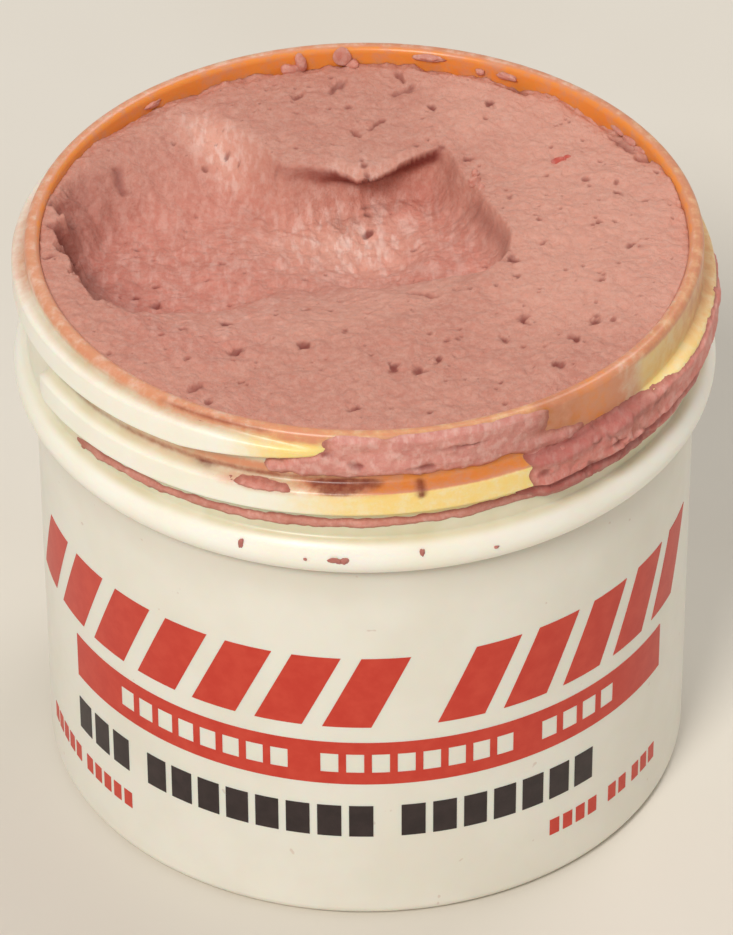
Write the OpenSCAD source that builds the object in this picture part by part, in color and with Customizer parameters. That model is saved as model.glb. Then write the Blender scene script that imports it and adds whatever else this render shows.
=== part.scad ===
// Open double-wall screw jar, full of gauging paste. The lid is not part of it.
// Millimetres, +Z up, origin at the centre of the standing ring, front of the label towards -Y.

/* [Neck] */
// Neck diameter between the thread ridges
neck_d = 54; // [53:0.1:55]
// Wall thickness of the neck
neck_wall = 1.2; // [1:0.1:1.6]
// Height from the top of the bead to the rim
neck_h = 9.7; // [9.6:0.1:10.4]
// How far the thread stands out of the neck
thread_depth = 1.05; // [0.9:0.01:1.1]
// Rise of the thread in one turn
thread_pitch = 4.23; // [4.15:0.01:4.25]
// Depth of the thread's centre line below the rim at the front
thread_drop = 5.9; // [5.85:0.05:5.95]

/* [Bead] */
// Largest diameter, over the shoulder bead
bead_d = 56.4; // [56.2:0.1:57]
// Radius of the bead's round edge
bead_r = 1.7; // [1.5:0.1:1.8]

/* [Body] */
// Height over all, to the rim
jar_h = 49.3; // [48.5:0.1:52]
// Diameter of the jacket under the bead
body_top_d = 53.1; // [52.8:0.1:53.2]
// Diameter of the jacket at the base
body_base_d = 52.8; // [52.4:0.1:53]
// Wall thickness of the jacket
jacket_wall = 1.2; // [1:0.1:1.4]
// Depth of the recess under the base
recess_h = 0.8; // [0.4:0.1:1.2]

/* [Cup] */
// Depth of the inner cup below the rim
cup_depth = 38; // [34:0.5:40]
// Wall thickness of the inner cup below the neck
cup_wall = 1.2; // [1:0.1:1.4]
// Inner diameter of the cup where its bottom curve starts
cup_low_d = 46.4; // [44:0.1:47]
// Radius of the curve between the cup's wall and floor
cup_round = 5; // [3:0.5:6]

/* [Paste] */
// How far the paste's surface lies below the rim
paste_gap = 1.2; // [0.8:0.1:1.6]
// Deepest point of the scooped hollow below the paste's surface
scoop_depth = 5; // [4:0.5:6]
// Thickness of the paste smeared on the neck
smear_t = 0.6; // [0.4:0.05:0.8]

/* [Print] */
// Thickness of the printed ink
ink_t = 0.08; // [0.06:0.01:0.12]
// Height of the red band's lower edge
band_z = 14.1; // [13:0.1:15]
// Width of the red band
band_h = 4.3; // [3.6:0.1:4.4]
// Height of the lower edge of the row of slanted blocks
block_z = 20; // [19.5:0.1:20.5]
// Height of the slanted blocks
block_h = 7; // [5:0.5:8]
// Width of the slanted blocks
block_w = 3.9; // [3:0.1:4.6]
// Sideways lean of every slanted edge for each millimetre of height
lean = 0.45; // [0.3:0.05:0.6]
// Height of the row of black blocks
black_z = 8.6; // [8.4:0.1:9]
// Height of the black blocks
black_h = 3.2; // [2.4:0.1:3.4]
// Height of the row of small red blocks
small_z = 4.7; // [4.4:0.1:5.2]
// Height of the small red blocks
small_h = 1.6; // [0.8:0.1:1.8]

/* [Hidden] */
$fn = 96;

neck_r = neck_d / 2;
bore_r = neck_r - neck_wall;
bead_z = jar_h - neck_h - bead_r;        // centre of the bead's round edge
bead_mid_r = bead_d / 2 - bead_r;
seam_z = bead_z - bead_r;                // where the jacket meets the underside of the bead
rim_round = 0.35;
fit_gap = 0.02;                          // hairline between pieces that only touch
spigot_h = 2.6;
base_t = 1.4;
base_round = 0.8;
cup_floor_z = jar_h - cup_depth;
jacket_bore_r = body_top_d / 2 - jacket_wall;
spigot_r = jacket_bore_r - fit_gap;
cup_top_r = spigot_r - cup_wall;         // inside of the cup just under its shoulder
paste_z = jar_h - paste_gap;

thread_from = -68;                       // lower end of the thread, degrees from the front
thread_to = 350;                         // upper end
thread_step = 5;
thread_run = 22;                         // length of the run-out at each end, degrees
sink = 0.35;                             // how far the thread's section reaches into the neck
thread_half = 1.7;                       // half the thread's width at its foot
crest_half = 0.9;
smear_gap_t = 0.05;                      // hairline between the smears and the neck
smear_step = 3;

block_angles = [-72, -60, -48, -36, -24, -12, 0, 20, 32, 44, 56, 68];
// rows of plain blocks: angle of the first one and how many
open_rows = [[-48, 8], [-8, 8], [32, 4]];
open_pitch = 2.05;
black_rows = [[-62, 3], [-42, 8], [6, 7]];
black_pitch = 2.56;
small_rows = [[-76, 5], [-60, 5], [34, 4], [48, 2], [55, 3]];
small_pitch = 1.35;

white = "#f2efe4";
cream = "#f4ead2";
pink = "#cf8a7d";
dark_pink = "#b5706a";
red = "#c8493a";
black = "#3a2c29";

// Points of an arc in the (r, z) plane
function arc(cr, cz, r, from, to, n = 8) =
    [for (i = [0:n]) let (a = from + (to - from) * i / n) [cr + r * cos(a), cz + r * sin(a)]];

// Height of the thread's centre line at an angle from the front
function helix_z(a) = jar_h - thread_drop + thread_pitch * a / 360;

// Point at an angle from the front, a radius and a height
function at(a, r, z) = [r * sin(a), -r * cos(a), z];

// Radius of the jacket's outer face at a height
function body_r(z) = (body_base_d + (body_top_d - body_base_d) * z / seam_z) / 2;

// Inside of the cup from the axis out and up to a height, drawn in by a gap
function cup_inside(top_z, gap) = concat(
    [[0, cup_floor_z + gap]],
    arc(cup_low_d / 2 - cup_round, cup_floor_z + cup_round, cup_round - gap, -90, 0),
    [[cup_top_r - gap, seam_z], [bore_r - gap, bead_z + bead_r], [bore_r - gap, top_z]]);

// Sweeps a section of [outward, upward] offsets along the neck, on the thread's slope or level.
// It gets flatter over a run at each end.
module neck_sweep(section, from, to, run, step, level_z = undef) {
    n = len(section);
    steps = ceil((to - from) / step);
    points = [for (i = [0:steps]) let (
                  a = from + (to - from) * i / steps,
                  share = run == 0 ? 1 : max(0.12, min(1, min(a - from, to - a) / run)),
                  z = is_undef(level_z) ? helix_z(a) : level_z)
              for (p = section) at(a, neck_r + (p[0] > 0.1 ? p[0] * share : p[0]), z + p[1])];
    sides = [for (i = [0:steps - 1], j = [0:n - 1])
             let (k = (j + 1) % n, here = i * n, next = here + n)
             for (f = [[here + j, next + j, next + k], [here + j, next + k, here + k]]) f];
    first = [[for (j = [0:n - 1]) n - 1 - j]];
    last = [[for (j = [0:n - 1]) steps * n + j]];
    polyhedron(points, concat(sides, first, last), convexity = 6);
}

// Section of the thread from its lower foot over the crest to its upper foot
thread_section = [
    [-sink, -thread_half], [thread_depth * 0.72, -crest_half - 0.3], [thread_depth, -crest_half],
    [thread_depth, crest_half], [thread_depth * 0.72, crest_half + 0.3], [-sink, thread_half]];

module thread() neck_sweep(thread_section, thread_from, thread_to, thread_run, thread_step);

module ring_block(r0, r1, z0, z1, from, to)
    rotate([0, 0, from - 90]) rotate_extrude(angle = to - from)
        translate([r0, z0]) square([r1 - r0, z1 - z0]);

module cup_shell()
    rotate_extrude() {
        polygon(concat(
            cup_inside(jar_h - rim_round, 0),
            arc(bore_r + rim_round, jar_h - rim_round, rim_round, 180, 90, 4),
            arc(neck_r - rim_round, jar_h - rim_round, rim_round, 90, 0, 4),
            [[neck_r, bead_z], [bead_mid_r, bead_z], [bead_mid_r, seam_z],
             [spigot_r, seam_z], [spigot_r, seam_z - spigot_h],
             [cup_top_r + cup_wall * 0.85, seam_z - spigot_h - 1]],
            arc(cup_low_d / 2 - cup_round, cup_floor_z + cup_round, cup_round + cup_wall, 0, -90),
            [[0, cup_floor_z - cup_wall]]));
        translate([bead_mid_r, bead_z]) circle(r = bead_r);
    }

module inner_cup() color(cream) union() {
    cup_shell();
    thread();
}

module outer_jacket() color(white) rotate_extrude() {
    foot_r = body_r(0);
    recess_r = foot_r - 3;
    polygon(concat(
        [[0, recess_h], [recess_r, recess_h], [recess_r + recess_h, 0]],
        arc(foot_r - base_round, base_round, base_round, -90, 0, 5),
        [[body_top_d / 2, seam_z - fit_gap], [jacket_bore_r, seam_z - fit_gap]],
        arc(foot_r - jacket_wall - 1, recess_h + base_t + 1, 1, 0, -90, 4),
        [[0, recess_h + base_t]]));
}

// The scooped hollow: a long shallow bowl that rises gently to the front
module scoop() {
    bowl_r = 13;
    bowl_z = paste_z + bowl_r - scoop_depth;
    hull() {
        translate([-14, 2, bowl_z + 1]) sphere(bowl_r, $fn = 32);
        translate([-1, 3, bowl_z]) sphere(bowl_r, $fn = 32);
        translate([2, -4, bowl_z + 1.5]) sphere(bowl_r, $fn = 32);
    }
}

module paste() color(pink) difference() {
    rotate_extrude() polygon(concat(cup_inside(paste_z, fit_gap), [[0, paste_z]]));
    scoop();
}

// Paste wiped over the neck between the rim and the lower ridge
module smear_neck() color(dark_pink)
    neck_sweep([[smear_gap_t, -0.9], [smear_t * 0.8, -0.6], [smear_t, 0.2], [smear_t * 0.7, 1.4],
                [smear_gap_t, 1.75]], -6, 58, 14, smear_step, level_z = jar_h - 2.1);

// Paste packed over the crest and both flanks of the lower ridge
module smear_thread() color(pink) {
    crest = thread_depth + smear_gap_t;
    shoulder = thread_depth * 0.72 + smear_gap_t;
    skin = 0.1;
    difference() {
        neck_sweep([[smear_gap_t, -2.7], [0.8, -2.1], [crest + skin, -crest_half - 0.2],
                    [crest + skin, crest_half + 0.2], [0.8, 1.75], [smear_gap_t, 2]],
                   30, 102, 0, smear_step);
        neck_sweep([[-sink, -thread_half - 0.06], [shoulder, -crest_half - 0.36],
                    [crest, -crest_half], [crest, crest_half], [shoulder, crest_half + 0.36],
                    [-sink, thread_half + 0.06]], 27, 105, 0, smear_step);
    }
}

// A thin fillet of paste in the corner under the lower ridge
module smear_root() color(dark_pink)
    neck_sweep([[smear_gap_t, -3.2], [smear_t, -2.8], [smear_t, -2.1], [smear_gap_t, -2]],
               -57, 27, 10, smear_step);

// A dab in the groove between the two ridges
module smear_gap() color(dark_pink)
    neck_sweep([[smear_gap_t, 1.6], [smear_t, 1.65], [smear_t, 2.4], [smear_gap_t, 2.6]],
               -24, -12, 4, smear_step);

// Dabs on the inside of the rim at the back
module rim_dabs() color(pink)
    for (dab = [[153, 4, 0.9], [183, 3, 1], [189, 3, 1], [222, 5, 0.8]])
        ring_block(bore_r - 0.5, bore_r - fit_gap, paste_z + fit_gap, paste_z + dab[2],
                   dab[0] - dab[1] / 2, dab[0] + dab[1] / 2);

// A low round crumb standing on z = 0
module crumb(r, h) rotate_extrude() intersection() {
    ball_r = (r * r + h * h) / (2 * h);
    translate([0, h - ball_r]) circle(r = ball_r);
    square([r * 2, h * 2]);
}

// Crumbs stuck on the bead: angle from the front, angle up the bead, radius
module bead_crumbs() color(dark_pink)
    for (place = [[-20, 20, 0.3], [-4, 8, 0.5], [9, 23, 0.3], [21, 5, 0.25]])
        translate(at(place[0], bead_mid_r + (bead_r + fit_gap) * cos(place[1]),
                     bead_z + (bead_r + fit_gap) * sin(place[1])))
            rotate([0, 0, place[0]]) rotate([90 - place[1], 0, 0]) crumb(place[2], 0.2);

// Loose bits lying on the paste: a lump of undissolved dye, a dried flake and a crumb
module loose_bits() color(red)
    for (bit = [[15.7, 10.9, 0.6, 0.5], [21.4, 12, 0.9, 0.4], [8.6, 8.6, 0.5, 0.3]])
        translate([bit[0], bit[1], paste_z + fit_gap]) crumb(bit[2], bit[3]);

// A skin of ink on the jacket between two heights and two angles
module ink_skin(z0, z1, from, to) {
    gap = 0.01;
    rotate([0, 0, from - 90]) rotate_extrude(angle = to - from)
        polygon([[body_r(z0) + gap, z0], [body_r(z0) + gap + ink_t, z0],
                 [body_r(z1) + gap + ink_t, z1], [body_r(z1) + gap, z1]]);
}

// Cuts a slanted strip of ink, seen square on at its own angle
module slanted(angle, width, z, height) {
    reach = width + height;
    intersection() {
        ink_skin(z, z + height, angle - reach * 2, angle + reach * 2);
        rotate([0, 0, angle]) translate([0, -neck_r + 6, z]) rotate([90, 0, 0])
            linear_extrude(12)
                polygon([[-width / 2 - lean * height / 2, 0], [width / 2 - lean * height / 2, 0],
                         [width / 2 + lean * height / 2, height],
                         [-width / 2 + lean * height / 2, height]]);
    }
}

// Angle that a length takes up on the jacket
function turn(length) = length / body_r(band_z) * 180 / PI;

// Left and right edge, as angles, of every plain block in rows of [first angle, how many]
function block_edges(rows, pitch, share) =
    [for (row = rows, k = [0:row[1] - 1]) let (left = row[0] + k * turn(pitch))
        [left, left + turn(pitch * share)]];

module print_red() color(red) {
    // the band, with rows of plain blocks left open in it
    difference() {
        ink_skin(band_z, band_z + band_h, -62, 64);
        for (edge = block_edges(open_rows, open_pitch, 0.7))
            ring_block(neck_r - 2, neck_r + 1, band_z + band_h * 0.28, band_z + band_h * 0.72,
                       edge[0], edge[1]);
    }
    for (angle = block_angles) slanted(angle, block_w, block_z, block_h);
    for (edge = block_edges(small_rows, small_pitch, 0.7))
        ink_skin(small_z, small_z + small_h, edge[0], edge[1]);
}

module print_black() color(black)
    for (edge = block_edges(black_rows, black_pitch, 0.76))
        ink_skin(black_z, black_z + black_h, edge[0], edge[1]);

outer_jacket();
inner_cup();
paste();
smear_neck();
smear_thread();
smear_root();
smear_gap();
rim_dabs();
bead_crumbs();
loose_bits();
print_red();
print_black();
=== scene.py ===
"""Open screw jar full of scooped gauging paste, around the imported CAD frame.

Shapes are worked out in millimetres and turned into metres where a mesh is made. An angle is
counted from the front of the jar (-Y) towards its right side (+X), in degrees.
"""
import math

import bpy
import numpy as np
from mathutils import Matrix, Vector


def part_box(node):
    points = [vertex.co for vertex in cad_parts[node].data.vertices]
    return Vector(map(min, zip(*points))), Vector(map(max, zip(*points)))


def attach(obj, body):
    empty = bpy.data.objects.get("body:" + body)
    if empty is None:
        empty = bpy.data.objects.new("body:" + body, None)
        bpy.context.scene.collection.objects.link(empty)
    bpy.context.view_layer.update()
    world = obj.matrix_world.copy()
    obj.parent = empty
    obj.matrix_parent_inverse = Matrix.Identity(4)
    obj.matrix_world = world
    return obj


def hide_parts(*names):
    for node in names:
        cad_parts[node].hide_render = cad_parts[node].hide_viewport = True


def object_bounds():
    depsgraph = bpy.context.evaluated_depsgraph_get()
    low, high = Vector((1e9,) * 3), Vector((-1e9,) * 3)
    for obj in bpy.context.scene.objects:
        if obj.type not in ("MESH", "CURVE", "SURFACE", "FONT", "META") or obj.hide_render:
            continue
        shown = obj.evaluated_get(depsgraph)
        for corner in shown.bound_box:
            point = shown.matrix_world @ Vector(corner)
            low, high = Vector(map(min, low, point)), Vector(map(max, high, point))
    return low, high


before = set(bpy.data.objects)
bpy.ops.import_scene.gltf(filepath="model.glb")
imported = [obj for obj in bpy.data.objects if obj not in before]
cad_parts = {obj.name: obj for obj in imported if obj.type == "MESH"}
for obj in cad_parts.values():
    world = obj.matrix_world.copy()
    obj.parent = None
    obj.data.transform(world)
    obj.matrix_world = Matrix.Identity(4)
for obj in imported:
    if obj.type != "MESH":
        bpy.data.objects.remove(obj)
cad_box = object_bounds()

MM = 0.001


def top_of(node):
    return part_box(node)[1][2] / MM


def bottom_of(node):
    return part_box(node)[0][2] / MM


# ---------------------------------------------------------------- sizes, from the frame
JAR_H = top_of("inner_cup")
BEAD_OUT_R = cad_box[1][0] / MM
SEAM_Z = top_of("outer_jacket")
BODY_TOP_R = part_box("outer_jacket")[1][0] / MM
BODY_BASE_R = BODY_TOP_R - 0.15
BEAD_ROUND = 1.7
BEAD_MID_R = BEAD_OUT_R - BEAD_ROUND
BEAD_Z = SEAM_Z + BEAD_ROUND
NECK_R = 27.0
BORE_R = 25.8
CUP_TOP_R = 24.13
CUP_LOW_R = 23.2
CUP_FLOOR_Z = bottom_of("paste")
CUP_ROUND = 5.0
CUP_WALL = 1.2
RIM_ROUND = 0.55
JACKET_WALL = 1.2
SPIGOT_GAP = 0.02
BASE_RECESS = 0.8
THREAD_PITCH = 4.23
THREAD_DEPTH = 1.05
THREAD_HALF = 1.55
THREAD_FLANK = 0.62
THREAD_FRONT_Z = JAR_H - 5.85
THREAD_START = -68.0
THREAD_END = 353.5
INK_OUT, INK_IN = 0.03, 0.05            # how far the ink stands out of the jacket, and reaches into it
PASTE_R = BORE_R - 0.01
PASTE_BELOW_RIM = 0.5
PASTE_BACK_DROP = 0.75                  # how much lower the paste lies at the back
PASTE_GAP = 0.05
SCOOP_DEPTH = 4.5
SMEAR_DIP, SMEAR_BACK = 0.14, 0.3       # how far a smear's edge and its hidden side go under the plastic
CRISP_ANGLE = 40


# ---------------------------------------------------------------- noise and small maths
def smoothstep(low, high, x):
    t = np.clip((np.asarray(x, float) - low) / (high - low), 0, 1)
    return t * t * (3 - 2 * t)


def mix(a, b, t):
    return a + (b - a) * t


def bump(x, centre, width):
    return np.exp(-((x - centre) / width) ** 2)


def lattice(ix, iy, iz, seed):
    n = (ix * 374761393 + iy * 668265263 + iz * 1440662683 + seed * 1274126177) & 0xFFFFFFFF
    n = ((n ^ (n >> 13)) * 1274126177) & 0xFFFFFFFF
    return ((n ^ (n >> 16)) & 0xFFFF) / 65535.0


def value_noise(x, y, z, seed):
    """Smooth noise from 0 to 1 with cells of size 1."""
    x, y, z = np.broadcast_arrays(np.asarray(x, float), np.asarray(y, float), np.asarray(z, float))
    cx, cy, cz = np.floor(x).astype(np.int64), np.floor(y).astype(np.int64), np.floor(z).astype(np.int64)
    fx, fy, fz = smoothstep(0, 1, x - cx), smoothstep(0, 1, y - cy), smoothstep(0, 1, z - cz)
    total = 0.0
    for dx in (0, 1):
        for dy in (0, 1):
            for dz in (0, 1):
                weight = (fx if dx else 1 - fx) * (fy if dy else 1 - fy) * (fz if dz else 1 - fz)
                total = total + weight * lattice(cx + dx, cy + dy, cz + dz, seed)
    return total


def fractal(x, y, z, size, octaves, seed):
    """Layered noise about 0, mostly within -1 to 1, whose largest bumps are size across."""
    total, strength = 0.0, 1.0
    for k in range(octaves):
        scale = 2 ** k / size
        total = total + strength * (value_noise(x * scale, y * scale, z * scale, seed + 17 * k) * 2 - 1)
        strength *= 0.5
    return total


# ---------------------------------------------------------------- mesh building
def quads(rows, cols, wrap=False):
    """Faces of a grid of points, row by row. They face outwards if rows go up and columns go round."""
    i = np.arange(rows - 1)[:, None]
    j = np.arange(cols if wrap else cols - 1)[None, :]
    k = (j + 1) % cols
    corners = [i * cols + j, i * cols + k, (i + 1) * cols + k, (i + 1) * cols + j]
    return np.stack([np.broadcast_to(c, (rows - 1, j.size)) for c in corners], -1).reshape(-1, 4)


def grid_ring(rows, cols):
    """The outer points of such a grid, in order."""
    index = np.arange(rows * cols).reshape(rows, cols)
    return np.concatenate([index[0, :-1], index[:-1, -1], index[-1, :0:-1], index[:0:-1, 0]])


def around(angle, radius, z):
    a = np.radians(angle)
    return np.stack(np.broadcast_arrays(radius * np.sin(a), -radius * np.cos(a), z), -1)


def make_object(name, points, faces, material, colours=None, crisp=False):
    """A smooth-shaded mesh object at the origin from points in millimetres. Crisp keeps its edges sharp."""
    mesh = bpy.data.meshes.new(name)
    corners = (np.asarray(points, float).reshape(-1, 3) * MM).tolist()
    mesh.from_pydata(corners, [], [list(map(int, f)) for f in faces])
    mesh.polygons.foreach_set("use_smooth", [True] * len(mesh.polygons))
    if colours is not None:
        layer = mesh.color_attributes.new("marks", "FLOAT_COLOR", "POINT")
        layer.data.foreach_set("color", np.asarray(colours, float).ravel())
    mesh.materials.append(material)
    mesh.update()
    if crisp:
        mesh.set_sharp_from_angle(angle=math.radians(CRISP_ANGLE))
    piece = bpy.data.objects.new(name, mesh)
    bpy.context.scene.collection.objects.link(piece)
    return piece


def stand_in(piece, slot, *nodes):
    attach(piece, "root")
    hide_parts(*nodes)


def arc(cr, cz, r, start, end, n):
    a = np.radians(np.linspace(start, end, n))
    return [(cr + r * math.cos(t), cz + r * math.sin(t)) for t in a]


def refine(profile, step):
    """The same outline with points no further apart than step."""
    out = [profile[0]]
    for (r0, z0), (r1, z1) in zip(profile, profile[1:]):
        n = max(1, math.ceil(math.hypot(r1 - r0, z1 - z0) / step))
        out += [(r0 + (r1 - r0) * k / n, z0 + (z1 - z0) * k / n) for k in range(1, n + 1)]
    return out


def lathe(profile, segments, push=None):
    """Points and faces of a closed turned solid. Its profile starts and ends on the axis.

    push(angle, r, z) moves a point outwards."""
    angle = np.arange(segments) * 360 / segments
    r = np.array([p[0] for p in profile[1:-1]])[:, None]
    z = np.array([p[1] for p in profile[1:-1]])[:, None]
    out = r + (push(angle[None, :], r, z) if push else 0)
    points = around(angle[None, :], out, z + 0 * out).reshape(-1, 3)
    rows = len(r)
    faces = quads(rows, segments, wrap=True).tolist()
    first, last = len(points), len(points) + 1
    ends = [[0, 0, profile[0][1]], [0, 0, profile[-1][1]]]
    for j in range(segments):
        k = (j + 1) % segments
        faces.append([first, k, j])
        faces.append([last, (rows - 1) * segments + j, (rows - 1) * segments + k])
    return np.vstack([points, ends]), faces


def add_joined(name, parts, material, slot, node_name, dark=None, crisp=False):
    """One piece from several (points, faces, marks). Dark replaces the second mark of all its points."""
    points, faces, colours, start = [], [], [], 0
    for part_points, part_faces, part_colours in parts:
        points.append(np.asarray(part_points, float).reshape(-1, 3))
        faces += [[int(v) + start for v in f] for f in part_faces]
        colours.append(np.asarray(part_colours, float).reshape(-1, 4))
        start += len(points[-1])
    colours = np.vstack(colours)
    if dark is not None:
        colours[:, 1] = dark
    stand_in(make_object(name, np.vstack(points), faces, material, colours, crisp), slot, node_name)


# ---------------------------------------------------------------- the neck's shape
def thread_z(angle):
    return THREAD_FRONT_Z + THREAD_PITCH * angle / 360


def thread_push(angle, z):
    """How far the thread stands out of the neck at an angle from -180 to 540 and a height."""
    run_out = np.clip((THREAD_END - angle) / 24, 0, 1)
    lead_in = np.clip((angle - THREAD_START) / 5, 0, 1)
    inside = (angle > THREAD_START) & (angle < THREAD_END)
    share = np.where(inside, np.sqrt(lead_in * (2 - lead_in)) * run_out ** 0.75, 0)
    half = THREAD_HALF * (0.3 + 0.7 * share)
    away = np.abs(z - thread_z(angle))
    return THREAD_DEPTH * share ** 0.6 * smoothstep(0, THREAD_FLANK, half - away)


def neck_surface(angle, z):
    """Radius of the neck's outer face, thread and bead included."""
    wrapped = (np.asarray(angle, float) + 180) % 360 - 180
    laps = sum(thread_push(wrapped + turn, z) for turn in (0, 360))
    rise = np.clip((z - BEAD_Z) / BEAD_ROUND, -1, 1)
    bead = np.where(np.abs(z - BEAD_Z) < BEAD_ROUND, BEAD_MID_R + BEAD_ROUND * np.sqrt(1 - rise ** 2), 0)
    blend = 0.35
    stack = np.stack(np.broadcast_arrays(NECK_R + laps, bead))
    return blend * np.log(np.exp((stack - NECK_R) / blend).sum(0)) + NECK_R


# ---------------------------------------------------------------- materials
def principled(name, **values):
    material = bpy.data.materials.new(name)
    material.use_nodes = True
    shader = material.node_tree.nodes["Principled BSDF"]
    for key, value in values.items():
        shader.inputs[key.replace("_", " ")].default_value = value
    return material, material.node_tree, shader


def node(tree, kind, **settings):
    made = tree.nodes.new(kind)
    for key, value in settings.items():
        setattr(made, key, value)
    return made


def noise_node(tree, scale_mm, detail=3.0, roughness=0.55, stretch=None):
    """Noise in object space with bumps of a size in millimetres."""
    place = node(tree, "ShaderNodeTexCoord")
    source = place.outputs["Object"]
    if stretch:
        mapping = node(tree, "ShaderNodeMapping")
        mapping.inputs["Scale"].default_value = stretch
        tree.links.new(source, mapping.inputs["Vector"])
        source = mapping.outputs["Vector"]
    made = node(tree, "ShaderNodeTexNoise")
    made.inputs["Scale"].default_value = 1 / (scale_mm * MM)
    made.inputs["Detail"].default_value = detail
    made.inputs["Roughness"].default_value = roughness
    tree.links.new(source, made.inputs["Vector"])
    return made.outputs["Fac"]


def ramp(tree, fac, low, high, start=0.0, end=1.0):
    made = node(tree, "ShaderNodeMapRange")
    made.interpolation_type = "SMOOTHSTEP"
    for key, value in (("From Min", low), ("From Max", high), ("To Min", start), ("To Max", end)):
        made.inputs[key].default_value = value
    tree.links.new(fac, made.inputs["Value"])
    return made.outputs["Result"]


def blend_colour(tree, fac, a, b):
    made = node(tree, "ShaderNodeMix", data_type="RGBA", blend_type="MIX")
    for value, socket in ((fac, made.inputs["Factor"]), (a, made.inputs[6]), (b, made.inputs[7])):
        if isinstance(value, bpy.types.NodeSocket):
            tree.links.new(value, socket)
        elif isinstance(value, (int, float)):
            socket.default_value = value
        else:
            socket.default_value = (*value, 1)
    return made.outputs[2]


def maths(tree, kind, a, b):
    made = node(tree, "ShaderNodeMath", operation=kind)
    for value, socket in ((a, made.inputs[0]), (b, made.inputs[1])):
        if isinstance(value, bpy.types.NodeSocket):
            tree.links.new(value, socket)
        else:
            socket.default_value = value
    return made.outputs[0]


def marks(tree):
    """The four painted-on amounts of a mesh, as separate sockets."""
    layer = node(tree, "ShaderNodeVertexColor", layer_name="marks")
    split = node(tree, "ShaderNodeSeparateColor")
    tree.links.new(layer.outputs["Color"], split.inputs[0])
    return *split.outputs, layer.outputs["Alpha"]


def relief(tree, shader, height, distance_mm):
    made = node(tree, "ShaderNodeBump")
    made.inputs["Strength"].default_value = 1.0
    made.inputs["Distance"].default_value = distance_mm * MM
    tree.links.new(height, made.inputs["Height"])
    tree.links.new(made.outputs["Normal"], shader.inputs["Normal"])


def linear(red, green, blue):
    """A screen colour, 0 to 255, as linear light."""
    def one(value):
        value /= 255
        return value / 12.92 if value <= 0.04045 else ((value + 0.055) / 1.055) ** 2.4
    return one(red), one(green), one(blue)


def jacket_plastic():
    """Moulded off-white plastic with faint handling marks, and painted shade just under the bead."""
    material, tree, shader = principled("jacket_plastic", Roughness=0.38, Subsurface_Weight=0.25,
                                        Subsurface_Scale=0.0012, IOR=1.5)
    cloud = ramp(tree, noise_node(tree, 9), 0.35, 0.7)
    colour = blend_colour(tree, cloud, linear(238, 234, 222), linear(233, 228, 214))
    place = node(tree, "ShaderNodeTexCoord")
    split = node(tree, "ShaderNodeSeparateXYZ")
    tree.links.new(place.outputs["Object"], split.inputs[0])
    # Painted shade under the overhanging bead: the jacket darkens towards its top edge.
    shade_under_bead = ramp(tree, split.outputs["Z"], (SEAM_Z - 5) * MM, SEAM_Z * MM, 0.0, 0.5)
    colour = blend_colour(tree, shade_under_bead, colour, linear(206, 198, 184))
    speck = ramp(tree, noise_node(tree, 0.9, detail=1.0), 0.76, 0.80)
    colour = blend_colour(tree, maths(tree, "MULTIPLY", speck, 0.35), colour, linear(196, 160, 140))
    tree.links.new(colour, shader.inputs["Base Color"])
    tree.links.new(ramp(tree, noise_node(tree, 2.5), 0.3, 0.7, 0.33, 0.45), shader.inputs["Roughness"])
    relief(tree, shader, noise_node(tree, 0.8, detail=4.0), 0.012)
    return material


def cup_plastic():
    """Cream plastic. Marks: orange stain, yellow stain, grime with some painted shade, and painted shade in
    the hollows between the thread ridges.
    """
    material, tree, shader = principled("cup_plastic", Roughness=0.33, Subsurface_Weight=0.3,
                                        Subsurface_Scale=0.0012, IOR=1.5)
    orange, yellow, grime_and_shade, hollow = marks(tree)
    fine = ramp(tree, noise_node(tree, 1.1, detail=5.0, roughness=0.65), 0.25, 0.75, 0.74, 1.26)

    def amount(socket, low, high):
        return ramp(tree, maths(tree, "MULTIPLY", socket, fine), low, high)

    base = blend_colour(tree, ramp(tree, noise_node(tree, 6), 0.3, 0.7),
                        linear(252, 248, 236), linear(249, 244, 228))
    # Painted shade: the duller greenish colour stands in for shade in the neck's hollows between the thread
    # ridges.
    base = blend_colour(tree, hollow, base, linear(216, 206, 170))
    colour = blend_colour(tree, amount(yellow, 0.05, 0.95), base, linear(255, 220, 134))
    peach = blend_colour(tree, amount(orange, 0.02, 0.6), colour, linear(220, 150, 112))
    deep = blend_colour(tree, amount(orange, 0.62, 1.1), peach, linear(238, 148, 64))
    # Grime, and painted shade high on the neck's right side.
    dirty_and_shaded = blend_colour(tree, amount(grime_and_shade, 0.0, 1.0), deep, linear(122, 42, 26))
    tree.links.new(dirty_and_shaded, shader.inputs["Base Color"])
    relief(tree, shader, noise_node(tree, 0.7, detail=4.0), 0.015)
    return material


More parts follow.
